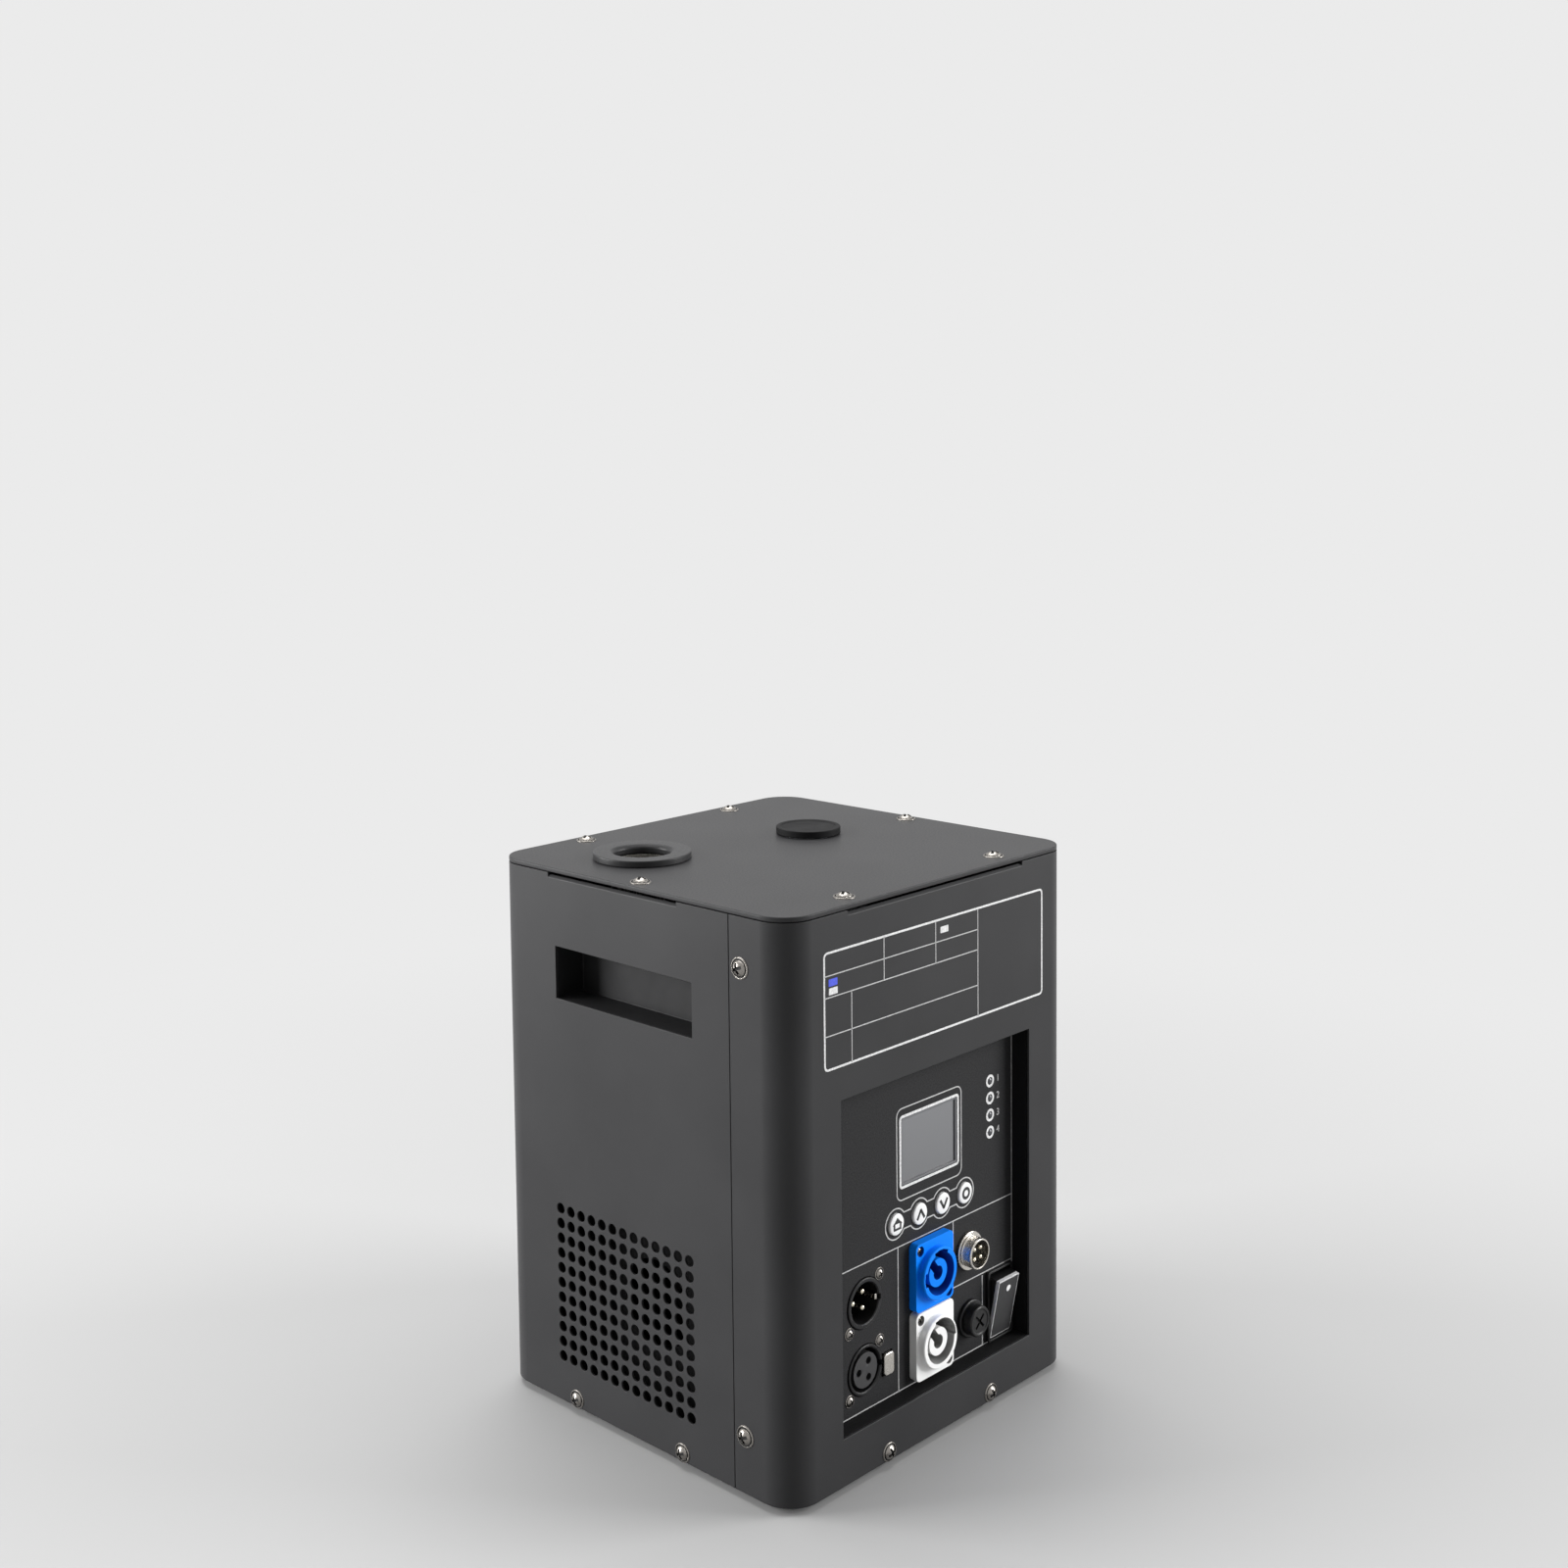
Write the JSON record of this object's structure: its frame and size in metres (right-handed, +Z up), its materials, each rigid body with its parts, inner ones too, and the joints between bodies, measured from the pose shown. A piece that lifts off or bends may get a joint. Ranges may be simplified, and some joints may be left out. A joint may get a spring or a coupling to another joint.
{
  "type": "cold spark machine",
  "caption": "Upright box-shaped stage unit with a rimmed round nozzle and a filler cap in its top, carrying slots in its sides and a sunken control panel with a screen and sockets.",
  "frame": {"origin": "on the floor under the middle of the case, at the level of the feet", "axes": "+Z up, the control panel faces -Y, +X to the right as the panel is read"},
  "size_m": [0.1846, 0.1724, 0.2343],
  "materials": {
    "black_paint": "fine satin powder coat",
    "black_plastic": "moulded, slightly grained",
    "grey_plastic": "moulded, satin",
    "white_plastic": "moulded, smooth",
    "blue_plastic": "moulded, smooth",
    "display_glass": "smooth screen cover",
    "lamp_plastic": "smoked, smooth",
    "nickel": "nickel plated",
    "zinc_steel": "zinc plated",
    "stainless": "drawn tube",
    "aluminium": "machined and sheet",
    "rubber": "matt",
    "ceramic": "unglazed ceramic",
    "circuit_board": "solder resist",
    "fuse_glass": "clear"
  },
  "bodies": {
    "case": {"base_plate": "black_paint", "foot_1": "rubber", "foot_2": "rubber", "foot_3": "rubber", "foot_4": "rubber", "front_cover": "black_paint", "side_shell": "black_paint", "top_plate": "black_paint", "lid_screw_1": "nickel", "lid_screw_2": "nickel", "lid_screw_3": "nickel", "lid_screw_4": "nickel", "lid_screw_5": "nickel", "lid_screw_6": "nickel", "cover_screw_left_upper": "nickel", "cover_screw_left_lower": "nickel", "cover_screw_right_upper": "nickel", "cover_screw_right_lower": "nickel", "handle_cup_left": "black_plastic", "handle_cup_right": "black_plastic", "inner_frame": "zinc_steel", "blower_housing": "black_plastic", "cooling_fan_frame": "black_plastic", "power_supply": "aluminium", "control_board": "circuit_board", "nozzle_collar": "black_paint", "spark_tube": "stainless", "heater_band": "ceramic", "air_adapter": "aluminium", "hopper": "zinc_steel", "hopper_funnel": "zinc_steel", "feeder_block": "aluminium", "feed_tube": "stainless", "feed_motor": "zinc_steel", "control_panel": "black_paint", "lcd_module": "display_glass", "display_board": "circuit_board", "lamp_block": "lamp_plastic", "dmx_in_socket": "black_plastic", "dmx_in_pins": "black_plastic", "dmx_out_socket": "black_plastic", "dmx_out_insert": "black_plastic", "power_in_socket": "blue_plastic", "power_out_socket": "white_plastic", "remote_socket": "nickel", "remote_insert": "black_plastic", "fuse_holder": "black_plastic", "switch_housing": "black_plastic"},
    "rocker": {"power_rocker": "grey_plastic"},
    "menu_button": {"button_menu": "white_plastic"},
    "up_button": {"button_up": "white_plastic"},
    "down_button": {"button_down": "white_plastic"},
    "enter_button": {"button_enter": "white_plastic"},
    "latch": {"dmx_out_latch": "nickel"},
    "fuse_carrier": {"fuse_cap": "black_plastic", "fuse": "fuse_glass"},
    "filler_cap": {"fill_cap": "black_plastic"},
    "wheel": {"blower_wheel": "black_plastic"},
    "fan_rotor": {"cooling_fan_rotor": "black_plastic"},
    "auger": {"feed_auger": "zinc_steel"}
  },
  "joints": [
    {"name": "power_switch", "type": "hinge", "parent": "case", "child": "rocker", "pos_m": [0.0493, -0.0745, 0.0382], "axis": [1, 0, 0], "range_deg": [-22, 0]},
    {"name": "menu_press", "type": "slide", "parent": "case", "child": "menu_button", "axis": [0, 1, 0], "range_m": [0, 0.0005], "stiffness_N_per_m": 600, "springref_m": -0.002},
    {"name": "up_press", "type": "slide", "parent": "case", "child": "up_button", "axis": [0, 1, 0], "range_m": [0, 0.0005], "stiffness_N_per_m": 600, "springref_m": -0.002},
    {"name": "down_press", "type": "slide", "parent": "case", "child": "down_button", "axis": [0, 1, 0], "range_m": [0, 0.0005], "stiffness_N_per_m": 600, "springref_m": -0.002},
    {"name": "enter_press", "type": "slide", "parent": "case", "child": "enter_button", "axis": [0, 1, 0], "range_m": [0, 0.0005], "stiffness_N_per_m": 600, "springref_m": -0.002},
    {"name": "latch_press", "type": "slide", "parent": "case", "child": "latch", "axis": [0, 1, 0], "range_m": [0, 0.0015], "stiffness_N_per_m": 600, "springref_m": -0.002},
    {"name": "fuse_removal", "type": "slide", "parent": "case", "child": "fuse_carrier", "axis": [0, -1, 0], "range_m": [0, 0.03]},
    {"name": "filler_cap_lift", "type": "slide", "parent": "case", "child": "filler_cap", "axis": [0, 0, 1], "range_m": [0, 0.04]},
    {"name": "blower_spin", "type": "hinge", "parent": "case", "child": "wheel", "pos_m": [-0.0518, 0.011, 0.049], "axis": [-1, 0, 0], "continuous": true},
    {"name": "fan_spin", "type": "hinge", "parent": "case", "child": "fan_rotor", "pos_m": [0.0785, 0.0077, 0.0545], "axis": [1, 0, 0], "continuous": true},
    {"name": "auger_spin", "type": "hinge", "parent": "case", "child": "auger", "pos_m": [0.031, 0.014, 0.111], "axis": [-0.9734, 0.2292, 0], "continuous": true}
  ]
}
